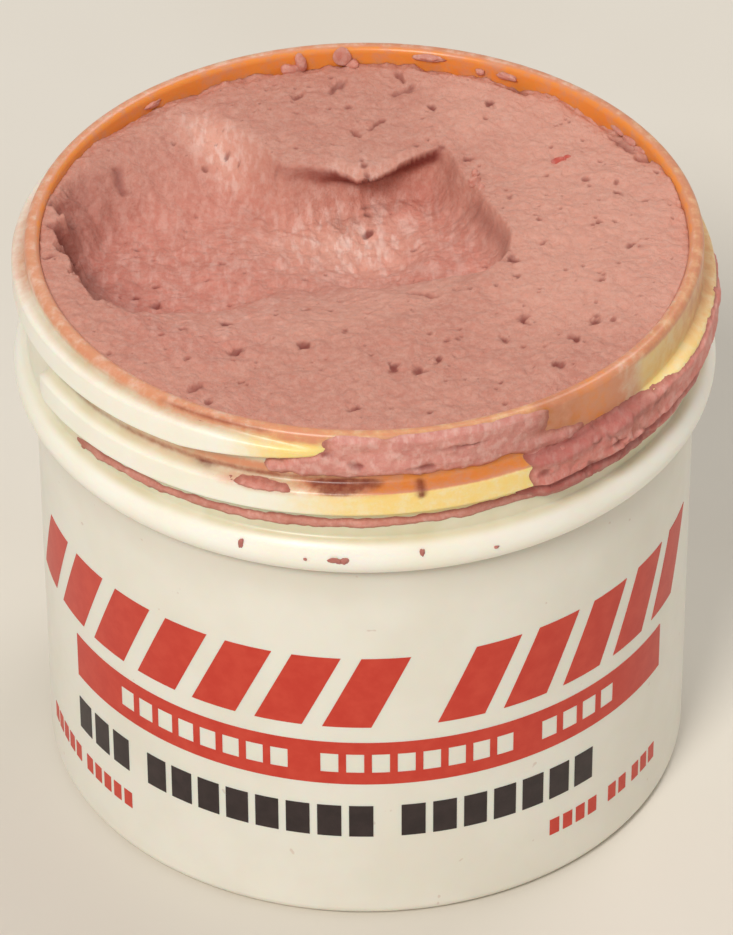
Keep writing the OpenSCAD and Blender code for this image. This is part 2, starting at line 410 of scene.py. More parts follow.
def paste_material(name, fresh, dry, deep, pale, gloss, relief_mm):
    """Stiff paste. Marks: how fresh the surface is, dark pits and stains plus painted shade, wet sheen as
    lower roughness with painted highlight streaks, and paleness, which on the scooped paste is painted light.
    """
    material, tree, shader = principled(name, Subsurface_Weight=0.15, Subsurface_Scale=0.0005, IOR=1.42)
    shader.inputs["Subsurface Radius"].default_value = (1.0, 0.4, 0.3)
    freshness, dark, sheen, paleness = marks(tree)
    cloud = ramp(tree, noise_node(tree, 2.4, detail=6.0, roughness=0.65), 0.38, 0.64)
    grain = ramp(tree, noise_node(tree, 0.55, detail=4.0, roughness=0.7), 0.4, 0.64)
    streak = ramp(tree, noise_node(tree, 1.0, detail=3.0, stretch=(1.6, 0.45, 1)), 0.45, 0.66)
    body = blend_colour(tree, freshness, dry, fresh)
    body = blend_colour(tree, maths(tree, "MULTIPLY", cloud, 0.36), body, deep)
    # Paleness: on the scooped paste this is painted light, lightening parts that would be more brightly lit.
    body = blend_colour(tree, paleness, body, pale)
    body = blend_colour(tree, maths(tree, "MULTIPLY", grain, 0.18), body, linear(240, 200, 184))
    # Painted highlight: whitish streaks where the sheen mark is, standing in for glints.
    painted_highlight = maths(tree, "MULTIPLY", maths(tree, "MULTIPLY", streak, sheen), 0.9)
    body = blend_colour(tree, painted_highlight, body, linear(248, 212, 200))
    # The dark mark: pits and stains, plus painted shade on walls, in creases and in grooves.
    body = blend_colour(tree, dark, body, linear(124, 44, 38))
    tree.links.new(body, shader.inputs["Base Color"])
    rough = ramp(tree, sheen, 0, 1, gloss + 0.22, gloss)
    tree.links.new(rough, shader.inputs["Roughness"])
    relief(tree, shader, noise_node(tree, 0.9, detail=6.0, roughness=0.72), relief_mm)
    return material


def ink(name, colour, worn):
    """Printed ink, a little uneven."""
    material, tree, shader = principled(name, Roughness=0.42, IOR=1.45)
    patch = ramp(tree, noise_node(tree, 1.4, detail=5.0), 0.3, 0.75)
    tree.links.new(blend_colour(tree, patch, colour, worn), shader.inputs["Base Color"])
    relief(tree, shader, noise_node(tree, 0.5, detail=4.0), 0.01)
    return material


def floor_material():
    material, tree, shader = principled("floor_paper", Roughness=0.75)
    shade = ramp(tree, noise_node(tree, 60), 0.3, 0.7)
    tree.links.new(blend_colour(tree, shade, linear(227, 221, 210), linear(223, 216, 204)),
                   shader.inputs["Base Color"])
    return material


JACKET = jacket_plastic()
CUP = cup_plastic()
# The paste's pale colour is the painted light of the pale mark on its surface.
PASTE = paste_material("paste_surface", fresh=linear(212, 134, 118), dry=linear(208, 144, 126),
                       deep=linear(192, 118, 102), pale=linear(234, 172, 152), gloss=0.30, relief_mm=0.28)
SMEAR = paste_material("paste_smear", fresh=linear(215, 143, 131), dry=linear(200, 128, 108),
                       deep=linear(184, 110, 102), pale=linear(224, 134, 122), gloss=0.36, relief_mm=0.14)
BITS = paste_material("dye_bits", fresh=linear(196, 76, 62), dry=linear(190, 76, 62),
                      deep=linear(150, 46, 40), pale=linear(206, 104, 90), gloss=0.4, relief_mm=0.1)
INK_RED = ink("ink_red", linear(200, 52, 34), linear(208, 66, 46))
INK_BLACK = ink("ink_black", linear(38, 26, 26), linear(52, 38, 38))


# ---------------------------------------------------------------- jacket
def build_jacket():
    recess_r = BODY_BASE_R - 3
    profile = [(0, BASE_RECESS), (1.6, BASE_RECESS), (1.9, 0.62), (2.3, BASE_RECESS)]
    profile += [(recess_r, BASE_RECESS)]
    profile += arc(recess_r + 0.8, 0.4, 0.4, 150, 270, 6)[1:]
    profile += arc(BODY_BASE_R - 1.0, 1.0, 1.0, -90, 0, 10)
    profile += [(BODY_TOP_R, SEAM_Z - 0.02), (BODY_TOP_R - JACKET_WALL, SEAM_Z - 0.02)]
    profile += arc(BODY_BASE_R - 2.2, 3.2, 1.0, 0, -90, 6)
    profile += [(0, 2.2)]
    points, faces = lathe(refine(profile, 1.2), 360)
    stand_in(make_object("jacket_shell", points, faces, JACKET), "jacket_plastic", "outer_jacket")


# ---------------------------------------------------------------- cup, neck and thread
def cup_marks(points):
    """Stains on the cup, from the angle, height and radius of each point."""
    x, y, z = points[:, 0], points[:, 1], points[:, 2]
    angle = np.degrees(np.arctan2(x, -y))
    radius = np.hypot(x, y)
    rough = fractal(x, y, z, 2.2, 4, 5)
    inner = smoothstep(26.35, 25.95, radius)
    outside = 1 - inner
    back = smoothstep(70, 105, np.abs(angle))
    level = z - thread_z(angle)
    crest = smoothstep(0.25, 0.85, (radius - NECK_R) / THREAD_DEPTH)

    rim = smoothstep(48.55, 49.0, z + 0.1 * rough) * (0.5 + 0.03 * rough)
    rim_edge = smoothstep(26.5, 26.9, radius) * smoothstep(48.1, 48.9, z) * (0.5 + 0.05 * rough)
    rim_edge = rim_edge * mix(0.72, 1, smoothstep(-62, -32, angle))
    inside = inner * mix(0.5, 1.0 + 0.15 * rough, back)
    lip_line = smoothstep(-38, -33, angle) * smoothstep(-14, -18, angle) * bump(z, 49.02, 0.2)
    lip_line = lip_line * smoothstep(26.3, 26.5, radius)
    above_ridge = 0.17 * smoothstep(0.3, 1.5, level - THREAD_PITCH) * smoothstep(-178, -130, angle)
    groove_left = smoothstep(-70, -25, angle) * smoothstep(4, -6, angle) * bump(level, 1.9, 0.6)
    under_smear = smoothstep(-5, 3, angle) * smoothstep(32, 28, angle) * smoothstep(0.85, 1.15, level)
    under_smear = under_smear * smoothstep(46.6, 45.9, z)
    under_ridge = smoothstep(-50, -18, angle) * smoothstep(4, -6, angle) * bump(level, 2.35, 0.55)
    left_stain = bump(angle, -92, 14) * smoothstep(43.5, 45.5, z)
    tip = bump(angle, -10, 8) * smoothstep(47.9, 48.7, z)
    right_neck = smoothstep(26, 31, angle) * smoothstep(60, 40, angle + 3 * rough)
    right_neck = right_neck * smoothstep(44.6, 45.4, z) * (0.86 + 0.3 * rough)
    right_rim = bump(angle, 85, 28) * smoothstep(44.0, 46.5, z)
    left_rim = smoothstep(-62, -85, angle) * smoothstep(-178, -150, angle) * smoothstep(46.8, 48.6, z)
    around_blotch = bump(angle, -3, 10) * bump(level, 1.5, 0.6)
    around_dab = bump(angle, -17, 9) * bump(z, 44.4, 0.55)
    orange = np.maximum.reduce([rim, rim_edge, inside, above_ridge, 0.75 * around_blotch, 0.42 * around_dab,
                                0.6 * lip_line, 0.42 * groove_left, 0.6 * under_ridge, 0.3 * left_stain,
                                0.9 * under_smear, 0.6 * tip, 0.9 * right_neck, 0.45 * right_rim,
                                0.5 * left_rim])

    lower_ridge = smoothstep(-26, 6, angle) * smoothstep(36, 29, angle) * smoothstep(41.0, 42.0, z)
    upper_tip = bump(angle, -10, 11) * smoothstep(46.0, 46.8, z)
    right = smoothstep(46, 56, angle) * smoothstep(165, 105, angle) * smoothstep(43.4, 44.6, z)
    cream = bump(angle, -30, 40) * smoothstep(40.6, 41.6, z)
    yellow = np.maximum.reduce([0.8 * lower_ridge, 0.85 * upper_tip, 0.7 * right, 0.16 * cream]) * outside

    groove_line = smoothstep(-80, -48, angle) * smoothstep(6, -6, angle) * bump(level, 1.78, 0.32)
    blotch = bump(angle, -3.5, 7.5) * bump(level, 1.42, 0.5)
    blotch = smoothstep(0.15, 0.75, blotch * (1 + 0.7 * rough))
    spots = np.maximum(bump(angle, -27, 2.5) * bump(level, 1.6, 0.3),
                       bump(angle, 29.5, 2.4) * bump(level, 1.2, 0.5))
    drip = bump(angle, 8.8, 0.5 + 0.5 * smoothstep(43.7, 44.5, z))
    drip = drip * smoothstep(43.6, 44.1, z) * smoothstep(45.3, 44.8, z)
    # Painted shade high on the neck's right side, added to the grime mark.
    shade_right = smoothstep(46, 56, angle) * smoothstep(45.4, 46.3, z)
    grime_and_shade = np.maximum.reduce([0.5 * groove_line, 0.74 * blotch, 0.8 * spots, 0.8 * drip, 0.2 * shade_right,
                               0.5 * lip_line, 0.2 * under_smear,
                               right_neck * mix(0.42, 0.16, smoothstep(33, 42, angle)),
                               0.14 * smoothstep(-9, -4, angle) * smoothstep(40, 33, angle) * rim])
    # Painted shade in the hollows between the thread ridges and just above the bead, weaker on the far left
    # and towards the back.
    on_neck = smoothstep(38.2, 39.0, z) * outside
    hollow = on_neck * (1 - crest) * (0.75 + 0.15 * rough) * smoothstep(49.1, 48.7, z)
    hollow = hollow * mix(0.4, 1, smoothstep(-82, -50, angle) * smoothstep(170, 110, angle))
    return np.clip(np.stack([orange, yellow, grime_and_shade * outside, hollow], -1), 0, 1.2)


def build_cup():
    spigot_r = BODY_TOP_R - JACKET_WALL - SPIGOT_GAP
    outside = [(0, CUP_FLOOR_Z - CUP_WALL)]
    outside += arc(CUP_LOW_R - CUP_ROUND, CUP_FLOOR_Z + CUP_ROUND, CUP_ROUND + CUP_WALL, -90, 0, 12)
    outside += [(CUP_TOP_R + 1.0, SEAM_Z - 3.6), (spigot_r, SEAM_Z - 2.6), (spigot_r, SEAM_Z)]
    outside = refine(outside, 2.0)
    lower = refine([(spigot_r, SEAM_Z), (BEAD_MID_R, SEAM_Z)], 0.6)[1:]
    bead = arc(BEAD_MID_R, BEAD_Z, BEAD_ROUND, -84, 66, 26)
    neck = [(NECK_R, z) for z in np.arange(BEAD_Z + BEAD_ROUND * 0.95, JAR_H - RIM_ROUND, 0.11)]
    rim = arc(NECK_R - RIM_ROUND, JAR_H - RIM_ROUND, RIM_ROUND, 0, 90, 7)
    rim += arc(BORE_R + RIM_ROUND, JAR_H - RIM_ROUND, RIM_ROUND, 90, 180, 7)
    inside = [(BORE_R, BEAD_Z + BEAD_ROUND), (CUP_TOP_R, SEAM_Z)]
    inside += arc(CUP_LOW_R - CUP_ROUND, CUP_FLOOR_Z + CUP_ROUND, CUP_ROUND, 0, -90, 12)
    inside += [(0, CUP_FLOOR_Z)]
    profile = outside + lower + bead + neck + rim + refine([rim[-1]] + inside, 1.0)[1:]

    def push(angle, r, z):
        on_neck = (r > NECK_R - 0.02) & (z > SEAM_Z + 0.05) & (z < JAR_H - RIM_ROUND + 0.01)
        fade = smoothstep(JAR_H - RIM_ROUND + 0.05, JAR_H - RIM_ROUND - 0.35, z)
        return np.where(on_neck, np.maximum(neck_surface(angle, z) - r, 0) * fade, 0)

    points, faces = lathe(profile, 720, push)
    piece = make_object("cup_and_neck", points, faces, CUP, cup_marks(points))
    stand_in(piece, "cup_plastic", "inner_cup")


build_jacket()
build_cup()


# ---------------------------------------------------------------- ink
def body_radius(z):
    return BODY_BASE_R + (BODY_TOP_R - BODY_BASE_R) * z / SEAM_Z


def ink_cells(s_edges, z_edges, on, lean=0.0):
    """A closed skin of ink on the jacket, filling the cells that are on.

    s is the distance round the jacket from the front; the skin leans sideways by lean per unit of height."""
    s_edges, z_edges = np.asarray(s_edges, float), np.asarray(z_edges, float)
    cols, rows = len(s_edges), len(z_edges)
    s = s_edges[None, :] + lean * (z_edges[:, None] - z_edges.mean())
    z = np.broadcast_to(z_edges[:, None], s.shape)
    angle = np.degrees(s / body_radius(z_edges.mean()))
    out = around(angle, body_radius(z) + INK_OUT, z).reshape(-1, 3)
    back = around(angle, body_radius(z) - INK_IN, z).reshape(-1, 3)
    n = rows * cols
    faces = []
    for i in range(rows - 1):
        for j in range(cols - 1):
            if not on(0.5 * (s_edges[j] + s_edges[j + 1]), 0.5 * (z_edges[i] + z_edges[i + 1])):
                continue
            a, b, c, d = i * cols + j, i * cols + j + 1, (i + 1) * cols + j + 1, (i + 1) * cols + j
            faces += [[a, b, c, d], [n + d, n + c, n + b, n + a]]
    edges = {}
    for face in faces:
        if face[0] < n:
            for p, q in zip(face, face[1:] + face[:1]):
                edges[(p, q)] = True
    walls = [[q, p, n + p, n + q] for p, q in edges if (q, p) not in edges]
    faces += walls
    used = sorted({v for f in faces for v in f})
    order = {v: k for k, v in enumerate(used)}
    points = np.vstack([out, back])[used]
    return points, [[order[v] for v in f] for f in faces], np.ones((len(used), 4))


def spaced(start, end, step=0.6):
    return np.linspace(start, end, max(2, math.ceil((end - start) / step) + 1))


def block(s, z, width, height, lean=0.0):
    return ink_cells(spaced(s, s + width), spaced(z, z + height, 1.2), lambda a, b: True, lean)


def arc_length(angle):
    return math.radians(angle) * BODY_BASE_R


def row_of_blocks(rows, pitch, share):
    """Left edges, as distances round the jacket, of blocks in rows of (first angle, how many)."""
    return [(arc_length(start) + k * pitch, pitch * share) for start, count in rows for k in range(count)]


# Heights of the printed rows and of what is in them, and the pitch of small blocks with its inked share.
BAND_Z, BAND_H = 14.1, 4.3
LARGE_Z, LARGE_H, LARGE_W, LARGE_LEAN = 20.0, 7.0, 3.9, 0.45
BLACK_Z, BLACK_H, BLACK_PITCH = 8.6, 3.2, (2.56, 0.76)
SMALL_Z, SMALL_H, SMALL_PITCH = 4.7, 1.6, (1.35, 0.7)
OPEN_PITCH = (2.05, 0.7)
# Angles: ends of the band, middles of the large blocks, (first angle, how many) of each row of small ones.
BAND_ANGLES = (-62, 64)
BLOCK_ANGLES = (-72, -60, -48, -36, -24, -12, 0, 20, 32, 44, 56, 68)
OPEN_ROWS = ((-48, 8), (-8, 8), (32, 4))
BLACK_ROWS = ((-62, 3), (-42, 8), (6, 7))
SMALL_ROWS = ((-76, 5), (-60, 5), (34, 4), (48, 2), (55, 3))


def build_prints():
    holes = row_of_blocks(OPEN_ROWS, *OPEN_PITCH)
    low, high = BAND_Z + BAND_H * 0.28, BAND_Z + BAND_H * 0.72
    s_edges = list(spaced(*map(arc_length, BAND_ANGLES)))
    s_edges += [edge for left, width in holes for edge in (left, left + width)]

    def solid(s, z):
        return not (low < z < high and any(left < s < left + width for left, width in holes))

    parts = [ink_cells(sorted(s_edges), [BAND_Z, low, high, BAND_Z + BAND_H], solid)]
    parts += [block(arc_length(angle) - LARGE_W / 2, LARGE_Z, LARGE_W, LARGE_H, LARGE_LEAN)
              for angle in BLOCK_ANGLES]
    parts += [block(left, SMALL_Z, width, SMALL_H)
              for left, width in row_of_blocks(SMALL_ROWS, *SMALL_PITCH)]
    add_joined("red_print", parts, INK_RED, "ink_red", "print_red", crisp=True)

    parts = [block(left, BLACK_Z, width, BLACK_H)
             for left, width in row_of_blocks(BLACK_ROWS, *BLACK_PITCH)]
    add_joined("black_print", parts, INK_BLACK, "ink_black", "print_black", crisp=True)


build_prints()


# ---------------------------------------------------------------- the paste's surface
SCOOP_AT = (-5.4, 2.2)
# Outline of the scooped hollow, seen from its middle: direction counted from +X towards +Y,
# distance to the rim of the hollow, width of its slope there, and how sharp the edge is.
SCOOP_RIM = (
    (-16, 17.7, 2.2, 1.0), (12, 15.3, 2.6, 1.0), (33, 15.8, 2.8, 1.0), (45, 16.9, 2.8, 1.0),
    (52, 14.0, 2.8, 1.0), (62, 10.9, 2.8, 1.0), (76, 9.5, 3.0, 1.0), (93, 9.1, 3.4, 0.8),
    (100, 9.7, 4.5, 0.6), (107, 12.4, 6.0, 0.3), (116, 18.0, 9.5, 0.0), (131, 19.2, 10.5, 0.0),
    (147, 19.4, 9.5, 0.1), (162, 19.4, 5.5, 0.6), (182, 19.3, 3.6, 1.0), (197, 18.6, 3.4, 1.0),
    (212, 18.6, 4.0, 0.9), (225, 18.6, 10.0, 0.2), (256, 19.0, 18.5, 0.0), (278, 18.0, 17.5, 0.0),
    (307, 17.0, 15.5, 0.0), (330, 16.6, 8.5, 0.2))
# How far the torn lip hangs out over the hollow, along x.
LIP_REACH = ((-8.5, 0), (-6.5, 0.35), (-4.6, 0.45), (-3, 0.9), (-1.5, 1.9), (0, 3.1), (1.1, 3.1),
             (2.4, 2.4), (3.8, 1.4), (6.2, 0.4), (7, 0))
SMOOTH_TURNS = 721


def scoop_rim(direction):
    """Distance, slope width and sharpness of the hollow's rim in a direction, in degrees."""
    table = np.array(SCOOP_RIM, float)
    fine = np.linspace(-180, 180, SMOOTH_TURNS)
    kernel = np.hanning(15)
    kernel /= kernel.sum()
    found = []
    for column in (1, 2, 3):
        raw = np.interp(fine, table[:, 0], table[:, column], period=360)
        soft = np.convolve(np.concatenate([raw[-8:-1], raw, raw[1:8]]), kernel, "valid")
        found.append(np.interp(direction, fine, soft, period=360))
    return found


def paste_surface(x, y):
    """Where the paste's skin goes for points x, y of a flat disc: new points and marks."""
    radius = np.hypot(x, y)
    angle = np.degrees(np.arctan2(x, -y))
    back = smoothstep(95, 135, np.abs(angle) - 12 * (x < 0))
    dx, dy = x - SCOOP_AT[0], y - SCOOP_AT[1]
    reach = np.hypot(dx, dy)
    direction = np.degrees(np.arctan2(dy, dx))
    rim, slope, sharp = scoop_rim(direction)
    torn = fractal(x, y, 0, 1.5, 5, 31)
    tattered = 0.2 + 0.5 * smoothstep(-12, -18, x) - 0.1 * smoothstep(7, 9, y)
    rim = rim + tattered * sharp * torn + 0.3 * fractal(x, y, 0, 5, 2, 33)
    within = rim - reach
    t = np.clip(within / slope, 0, 1)
    fall = mix(t * t * (3 - 2 * t), 1 - (1 - t) ** 2.3, sharp)
    deep = SCOOP_DEPTH + 0.6 * np.exp(-((x + 14) ** 2 + (y - 1) ** 2) / 45) - 1.1 * smoothstep(0, 9, x)
    deep = deep - 0.9 * smoothstep(4, -10, y)
    deep = deep + 0.4 * fractal(x, y, 0, 5.5, 3, 37)

    level = JAR_H - PASTE_BELOW_RIM - PASTE_BACK_DROP * back - 0.22 * fractal(x, y, 0, 9, 2, 41)
    level = level + 0.2 * (1 - (radius / PASTE_R) ** 2)
    edge = smoothstep(PASTE_R - 1.4, PASTE_R, radius)
    level = level - edge * (0.08 + 0.42 * back * (0.6 + fractal(x, y, 0, 1.9, 3, 43)))
    z = level - deep * fall

    # torn lip: the edge is drawn out over the hollow and bends down
    lip = np.interp(x, [p[0] for p in LIP_REACH], [p[1] for p in LIP_REACH]) * smoothstep(5, 8, y)
    lip = lip * (1 + 0.08 * torn)
    outward = np.maximum(-within, 0)
    pull = np.where(within > 0, 1 - smoothstep(0.03, 0.24, t), np.exp(-(outward / 2.7) ** 2))
    bend = np.where(within > 0, 1 - smoothstep(0.05, 0.3, t), smoothstep(2.6, 0.1, outward))
    raised = smoothstep(0.4, 1.6, lip)
    y = y - lip * pull
    z = z - 0.16 * lip * bend + 0.25 * raised * bump(outward, 1.1, 0.6) * (within <= 0)

    # texture: grain on the level parts, drawn-out streaks in the hollow, creases near the back
    fresh = smoothstep(0.05, 0.9, t) * mix(0.7, 1, sharp)
    fresh = np.maximum(fresh, 0.7 * smoothstep(1.2, 0.6, np.hypot((x + 12.5) / 8, (y + 7) / 10.5)))
    along, across = 0.25 * x - 0.97 * y, 0.97 * x + 0.25 * y
    streaks = fractal(across / 0.6, along / 1.9, 0, 1.0, 4, 51)
    lumps = fractal(x, y, 0, 1.7, 5, 53)
    grain = fractal(x, y, 0, 0.6, 3, 57)
    z = z + 0.14 * lumps + 0.08 * grain + fresh * 0.04 * streaks
    # Wet-looking patches: streaky relief here, and through the sheen mark lower roughness and painted
    # highlight streaks; the slope patch is also painted paler.
    floor_gloss = np.exp(-((x + 1.5) ** 2 / 22 + (y - 6.5) ** 2 / 18))
    slope_gloss = np.exp(-((x + 12.1 + 0.75 * (y - 15.4)) ** 2 / 5 + (y - 15.2) ** 2 / 9))
    glossy = np.clip(0.85 * floor_gloss + slope_gloss, 0, 1)
    z = z + 0.13 * glossy * streaks
    tear = crack_field(x, y)
    steep = sharp * smoothstep(0.01, 0.08, t) * smoothstep(1.0, 0.75, t)
    pits = pit_field(x, y) * (1 - 0.95 * steep)
    z = z - 0.28 * pits - 0.35 * tear
    # Painted shade in the dark mark: the hollow's steep walls, a strip under the right crest, the left wall,
    # under the lip and the crease below its edge. Pits are darker spots of the paste itself.
    wall = sharp * smoothstep(0.02, 0.2, t) * smoothstep(1.0, 0.55, t)
    on_lip = smoothstep(0.15, 0.6, lip)
    under_lip = raised * smoothstep(0.02, 0.12, t) * smoothstep(1.1, 0.5, t) * (within > 0)
    crease = on_lip * smoothstep(0.24 + 0.05 * lip, 0.08 + 0.05 * lip, t) * smoothstep(0.015, 0.05, t)
    crease = crease * mix(0.55, 1, smoothstep(-4.5, -1.5, x))
    right_wall = wall * smoothstep(-1, 4, x)
    right_strip = wall * smoothstep(7, 9, x) * smoothstep(-2.5, -1, y) * smoothstep(8.5, 6, y)
    right_strip = right_strip * smoothstep(0.55, 0.25, t)
    left_wall = sharp * smoothstep(0.02, 0.15, t) * np.exp(-(within / 4.6) ** 2) * smoothstep(-11, -18, x)
    dark = np.maximum.reduce([0.85 * pits, 0.6 * tear, 0.05 * right_wall, 0.34 * right_strip,
                              0.56 * left_wall, 0.05 * under_lip, 0.9 * crease])
    # Painted light in the pale mark: the level paste on the right and back right, the front ramp, the floor
    # under the lip, the glossy slope at the back left and the lip's raised edge are painted paler where they
    # would be more brightly lit.
    right_side = smoothstep(6, 15, x) * smoothstep(-17, -8, y)
    back_right = smoothstep(2, 9, x) * smoothstep(12, 17, y)
    middle = np.exp(-((x + 1.5) ** 2 / 44 + (y - 5.6) ** 2 / 26)) * smoothstep(0.25, 0.7, t)
    ramp_front = smoothstep(-2, -8, dy) * smoothstep(0.02, 0.25, t) * smoothstep(1.0, 0.5, t)
    pale = np.maximum.reduce([0.5 * right_side, 0.35 * ramp_front, 0.5 * back_right, 0.85 * middle,
                              slope_gloss, 0.35 * raised * (within <= 0) * smoothstep(3, 0, outward)])
    marks_out = np.stack([fresh, dark, 0.25 * fresh + 0.75 * glossy, pale], -1)
    return np.stack([x, y, z], -1), np.clip(marks_out, 0, 1)


# Short cracks in the level paste, as x, y, direction in degrees, length and width.
CRACKS = ((-2.4, 22.4, 60, 2.2, 0.3), (3.4, 21.6, 40, 2.4, 0.3), (3.2, 23.6, -60, 1.6, 0.25),
          (21.0, 13.4, -58, 3.4, 0.4), (22.6, 11.4, -20, 1.4, 0.45), (12.8, 21.7, -30, 2.2, 0.35),
          (-24.4, 4.6, -20, 1.8, 0.35), (-24.6, 2.2, 40, 1.6, 0.35), (4.6, -7.6, -35, 2.6, 0.28),
          (-16.9, -7.6, -62, 2.4, 0.22), (1.0, 16.4, 50, 1.6, 0.2), (-0.6, 15.4, -70, 1.2, 0.2),
          (-19.8, 10.2, -70, 2.2, 0.5), (-5.4, 20.6, 30, 1.2, 0.2), (-13, -20.2, 20, 1.3, 0.35))


def crack_field(x, y):
    field = np.zeros_like(x)
    wander = 0.35 * fractal(x, y, 0, 1.4, 3, 63)
    for cx, cy, turn, length, width in CRACKS:
        a = math.radians(turn)
        along = (x - cx) * math.cos(a) + (y - cy) * math.sin(a)
        across = (y - cy) * math.cos(a) - (x - cx) * math.sin(a) + wander
        ends = smoothstep(length * 0.6, length * 0.35, np.abs(along))
        field = np.maximum(field, np.exp(-(across / width) ** 2) * ends)
    return field


# The larger pits, as x, y and radius, and how many small ones are scattered.
PITS = ((5.6, 18.9, 0.4), (10.4, 19.3, 0.4), (14.2, -1.6, 0.3), (18.6, 1.4, 0.35), (20.3, 5.8, 0.35),
        (21.4, -1.2, 0.42), (12.4, -11.5, 0.5), (18, -11.6, 0.4), (16.4, -14, 0.38), (14.8, -17.2, 0.4),
        (5.7, -16.4, 0.42), (2.2, -17.5, 0.38), (4.3, -17.8, 0.4), (-9.8, -15.2, 0.42), (-4.7, -14.6, 0.36),
        (10.9, -13.8, 0.32), (11.7, -3.6, 0.4), (-10.8, -10.6, 0.5), (-14.3, -12.2, 0.4), (-0.6, -22.9, 0.36),
        (-24.9, -2.6, 0.3), (18.6, -6.6, 0.28), (0.3, 7.6, 0.36), (-18.2, -2.2, 0.32), (-16.5, -3.4, 0.36),
        (8.4, 11.8, 0.32), (-4.6, -8.2, 0.26))
SMALL_PITS = 300
PIT_SEED = 7


def pit_field(x, y):
    random = np.random.default_rng(PIT_SEED)
    spots = list(PITS)
    for _ in range(SMALL_PITS):
        a, r = random.uniform(0, 2 * math.pi), PASTE_R * math.sqrt(random.uniform(0, 0.96))
        size = random.uniform(0.08, 0.24) * random.uniform(0.6, 1.0)
        spots.append((r * math.cos(a), r * math.sin(a), size))
    field = np.zeros_like(x)
    ragged = np.clip(1 + 0.9 * fractal(x, y, 0, 0.55, 3, 61), 0.35, 1.8)
    for px, py, size in spots:
        near = (np.abs(x - px) < 4 * size) & (np.abs(y - py) < 4 * size)
        away = ((x[near] - px) ** 2 + (y[near] - py) ** 2) / (size * ragged[near]) ** 2
        field[near] = np.maximum(field[near], np.exp(-away ** 1.8) * min(1, 0.5 + 1.4 * size))
    return field


def build_paste():
    side = 400
    u, v = np.meshgrid(np.linspace(-1, 1, side), np.linspace(-1, 1, side), indexing="xy")
    x = u * np.sqrt(1 - v ** 2 / 2) * PASTE_R
    y = v * np.sqrt(1 - u ** 2 / 2) * PASTE_R
    surface, colours = paste_surface(x, y)
    ring = grid_ring(side, side)
    top = surface.reshape(-1, 3)
    around_ring = top[ring, :2] / np.hypot(top[ring, 0], top[ring, 1])[:, None]
    levels = [(PASTE_R, 45.5), (PASTE_R, BEAD_Z + BEAD_ROUND), (CUP_TOP_R - PASTE_GAP, SEAM_Z)]
    levels += [(CUP_LOW_R - PASTE_GAP, CUP_FLOOR_Z + CUP_ROUND)]
    levels += arc(CUP_LOW_R - CUP_ROUND, CUP_FLOOR_Z + CUP_ROUND, CUP_ROUND - PASTE_GAP, -12, -84, 6)
    skirt = [np.column_stack([around_ring * r, np.full(len(ring), z)]) for r, z in levels]
    points = np.vstack([top] + skirt + [[[0, 0, CUP_FLOOR_Z + PASTE_GAP]]])
    faces = quads(side, side).tolist()
    above = ring
    for k in range(len(levels)):
        below = side * side + k * len(ring) + np.arange(len(ring))
        faces += np.stack([above, below, np.roll(below, -1), np.roll(above, -1)], -1).tolist()
        above = below
    faces += [[int(a), len(points) - 1, int(b)] for a, b in zip(above, np.roll(above, -1))]
    extra = np.tile([1.0, 0.0, 0.3, 0.0], (len(points) - side * side, 1))
    piece = make_object("paste_fill", points, faces, PASTE, np.vstack([colours.reshape(-1, 4), extra]))
    stand_in(piece, "paste", "paste")


build_paste()


# ---------------------------------------------------------------- smears on the neck
# Dark hollows in the smears, as angle, height, half width in degrees and half height.
SMEAR_HOLLOWS = ((38.2, 42.9, 1.9, 0.42), (46.4, 42.0, 1.6, 0.36), (50.2, 42.0, 0.9, 0.5),
                 (43.6, 43.6, 2.6, 0.22), (29.2, 43.9, 1.7, 0.36), (9.6, 46.3, 2.3, 0.2),
                 (-0.8, 46.7, 1.5, 0.25), (-6.6, 47.6, 1.0, 0.2), (17.0, 47.8, 3.0, 0.16),
                 (35.0, 45.3, 4.0, 0.18), (53.5, 44.6, 2.2, 0.3))


def smear_hollows(angle, z, x, y):
    ragged = np.clip(1 + 0.9 * fractal(x, y, z, 0.8, 3, 75), 0.3, 1.9)
    field = np.zeros_like(angle)
    for at, up, wide, tall in SMEAR_HOLLOWS:
        away = ((angle - at) / wide) ** 2 + ((z - up) / tall) ** 2
        field = np.maximum(field, np.exp(-away / ragged ** 2))
    return field


